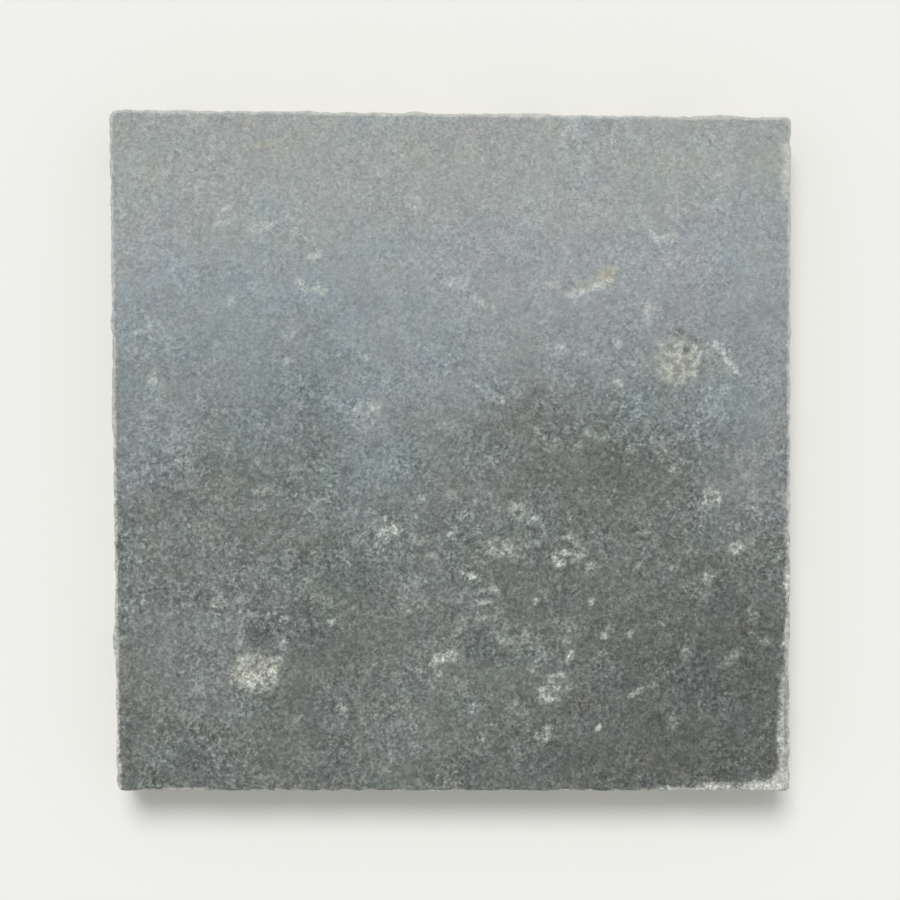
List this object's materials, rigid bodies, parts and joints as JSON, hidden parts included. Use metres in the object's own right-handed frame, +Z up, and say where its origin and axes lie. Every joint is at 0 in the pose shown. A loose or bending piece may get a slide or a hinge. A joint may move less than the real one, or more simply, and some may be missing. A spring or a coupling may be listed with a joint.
{
  "type": "cement floor tile",
  "caption": "Square pressed-cement floor tile in plain blue-grey, a little out of true, with worn arrises, a flaked corner, shallow face spalls and a flat bed.",
  "frame": {"origin": "middle of the bed, the face that the tile lies on", "axes": "+Z up out of the worn face, +X to the right and +Y up the face as the picture shows it"},
  "size_m": [0.1999, 0.1999, 0.02],
  "materials": {
    "cement": "matte, sandy and worn, blue-grey on the face with pale lime marks, beige on the sides and bed"
  },
  "bodies": {
    "root": {"tile": "cement"}
  },
  "joints": []
}
